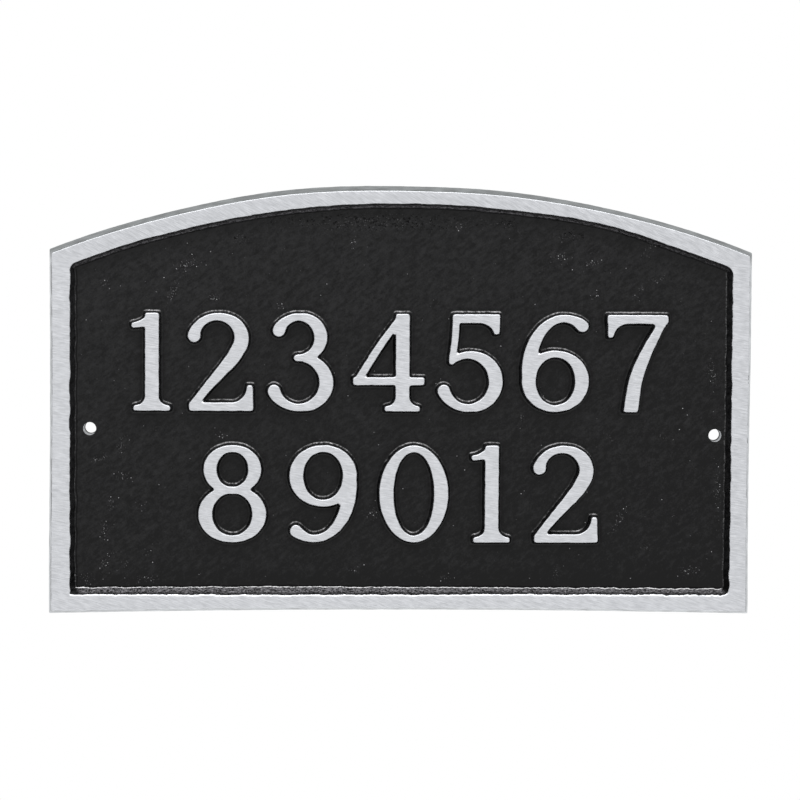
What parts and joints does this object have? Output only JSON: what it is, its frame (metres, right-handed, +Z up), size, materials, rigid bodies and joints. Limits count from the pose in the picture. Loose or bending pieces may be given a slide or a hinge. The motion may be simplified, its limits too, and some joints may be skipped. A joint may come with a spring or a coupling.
{
  "type": "private drive sign",
  "caption": "Cast wall plaque with an arched top, a raised rim round a sunken field, and a screw hole at each side.",
  "frame": {"origin": "middle of the flat back, half way across its width and half way up its height, on the wall's plane", "axes": "+X across to the right as seen from the front, +Y into the wall, +Z up; the face looks along -Y"},
  "size_m": [0.2286, 0.008, 0.1397],
  "materials": {
    "cast_aluminium": "satin"
  },
  "bodies": {
    "root": {"plaque": "cast_aluminium"}
  },
  "joints": []
}
